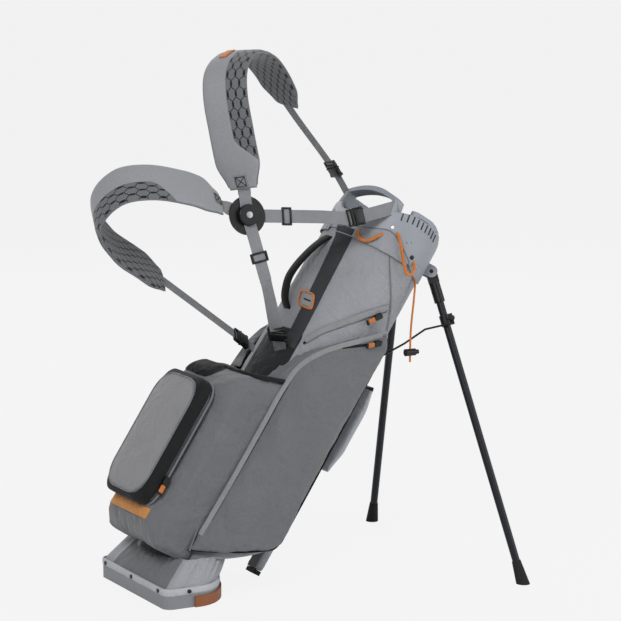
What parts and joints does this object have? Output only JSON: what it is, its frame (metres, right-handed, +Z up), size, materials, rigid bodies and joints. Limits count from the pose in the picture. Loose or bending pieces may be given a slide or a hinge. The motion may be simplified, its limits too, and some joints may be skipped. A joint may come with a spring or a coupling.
{
  "type": "golf stand bag",
  "caption": "Golf stand bag leaning on its base and folding legs, with club dividers, pockets, carrying handles and padded shoulder straps.",
  "frame": {"origin": "middle of the sole of the base, on the floor", "axes": "+Z up, +X towards the legs that the bag leans on, +Y to the left of a person behind the front pockets looking at the legs"},
  "size_m": [0.8031, 0.6228, 1.0312],
  "materials": {
    "light_fabric": "heathered weave",
    "dark_fabric": "heathered weave",
    "lining_fabric": "plain weave",
    "pad_fabric": "padded weave and mesh",
    "webbing": "webbing",
    "black_webbing": "webbing",
    "collar_plastic": "fine grain",
    "black_plastic": "fine grain",
    "orange_fabric": "cord and tape",
    "orange_plastic": "satin",
    "black_rubber": "matt",
    "black_aluminium": "black anodised",
    "steel": "black plated",
    "cord": "braided"
  },
  "bodies": {
    "bag": {"front_panel": "light_fabric", "right_panel": "light_fabric", "left_panel": "light_fabric", "back_panel": "light_fabric", "spine_sleeve": "light_fabric", "boot": "light_fabric", "right_pocket": "dark_fabric", "left_pocket": "dark_fabric", "cooler_pocket": "dark_fabric", "ball_pocket": "dark_fabric", "side_band": "dark_fabric", "dividers": "lining_fabric", "bag_floor": "lining_fabric", "lower_strap_pad": "pad_fabric", "upper_strap_pad": "pad_fabric", "hip_pad": "pad_fabric", "lower_webbing": "webbing", "front_webbing": "webbing", "upper_webbing": "webbing", "far_webbing": "webbing", "grab_handle": "black_webbing", "top_collar": "collar_plastic", "lift_handle": "collar_plastic", "rim_grip": "collar_plastic", "divider_top": "collar_plastic", "buckle_sockets": "black_plastic", "buckle_prongs": "black_plastic", "hub_cap": "black_plastic", "cord_lock": "black_plastic", "hinge_bracket": "black_plastic", "zips": "black_plastic", "orange_band": "orange_fabric", "orange_loops": "orange_fabric", "stays": "black_aluminium", "leg_pins": "steel", "pull_cord": "cord"},
    "base": {"base_foot": "collar_plastic", "base_heel": "orange_plastic", "base_hinge_pin": "steel", "boot_strip": "light_fabric", "band_rivets": "black_plastic"},
    "right_leg": {"right_knuckle": "black_plastic", "right_leg_tube": "black_aluminium", "right_clamp": "black_plastic", "right_foot": "black_rubber"},
    "left_leg": {"left_knuckle": "black_plastic", "left_leg_tube": "black_aluminium", "left_clamp": "black_plastic", "left_foot": "black_rubber"},
    "rod": {"push_rod": "steel", "rod_slider": "black_plastic"},
    "right_wire": {"right_wire": "steel"},
    "left_wire": {"left_wire": "steel"},
    "hub": {"hub_disc": "black_plastic"},
    "collar_glide": {"collar_glide": "black_plastic"},
    "side_glide": {"side_glide": "black_plastic"},
    "upper_puller": {"upper_puller": "black_plastic"},
    "pocket_puller": {"pocket_puller": "black_plastic"},
    "ball_puller": {"ball_puller": "black_plastic"},
    "cord_button": {"cord_button": "black_plastic"}
  },
  "joints": [
    {"name": "base_hinge", "type": "hinge", "parent": "bag", "child": "base", "pos_m": [-0.06, 0, 0.031], "axis": [0, 1, 0], "range_deg": [0, 33], "deforming": ["boot"]},
    {"name": "right_leg_fold", "type": "hinge", "parent": "bag", "child": "right_leg", "pos_m": [0.53553, -0.064, 0.58631], "axis": [0.4376, 0.8531, -0.2842], "range_deg": [0, 43]},
    {"name": "left_leg_fold", "type": "hinge", "parent": "bag", "child": "left_leg", "pos_m": [0.53553, 0.064, 0.58631], "axis": [-0.4376, 0.8531, 0.2842], "range_deg": [0, 43]},
    {"name": "rod_slide", "type": "slide", "parent": "bag", "child": "rod", "axis": [-0.5446, 0, -0.8387], "range_m": [0, 0.064]},
    {"name": "right_wire_swing", "type": "hinge", "parent": "rod", "child": "right_wire", "pos_m": [0.43252, -0.017, 0.41116], "axis": [-0.4376, -0.8531, 0.2842], "range_deg": [0, 23.8]},
    {"name": "left_wire_swing", "type": "hinge", "parent": "rod", "child": "left_wire", "pos_m": [0.43252, 0.017, 0.41116], "axis": [0.4376, -0.8531, -0.2842], "range_deg": [0, 23.8]},
    {"name": "hub_swivel", "type": "hinge", "parent": "bag", "child": "hub", "pos_m": [0.107, -0.108, 0.729], "axis": [0, -0.97, 0.243], "continuous": true},
    {"name": "collar_glide_slide", "type": "slide", "parent": "bag", "child": "collar_glide", "axis": [0.9974, -0.0175, -0.07], "range_m": [-0.03, 0.06]},
    {"name": "side_glide_slide", "type": "slide", "parent": "bag", "child": "side_glide", "axis": [0.1721, -0.2392, -0.9556], "range_m": [-0.03, 0.03]},
    {"name": "upper_zip_slide", "type": "slide", "parent": "bag", "child": "upper_puller", "axis": [-0.9376, -0.0533, -0.3437], "range_m": [0, 0.02]},
    {"name": "pocket_zip_slide", "type": "slide", "parent": "bag", "child": "pocket_puller", "axis": [-0.9818, -0.1842, -0.0451], "range_m": [0, 0.02]},
    {"name": "ball_zip_slide", "type": "slide", "parent": "bag", "child": "ball_puller", "axis": [0.5446, 0, 0.8387], "range_m": [0, 0.15]},
    {"name": "lock_button", "type": "slide", "parent": "bag", "child": "cord_button", "axis": [-1, 0, 0], "range_m": [0, 0.004], "stiffness_N_per_m": 150}
  ],
  "couplings": [
    {"joint": "right_leg_fold", "follows": "base_hinge", "ratio": 1.303},
    {"joint": "left_leg_fold", "follows": "base_hinge", "ratio": 1.303},
    {"joint": "rod_slide", "follows": "base_hinge", "m_per_rad": 0.11112},
    {"joint": "right_wire_swing", "follows": "base_hinge", "ratio": 0.72121},
    {"joint": "left_wire_swing", "follows": "base_hinge", "ratio": 0.72121}
  ]
}
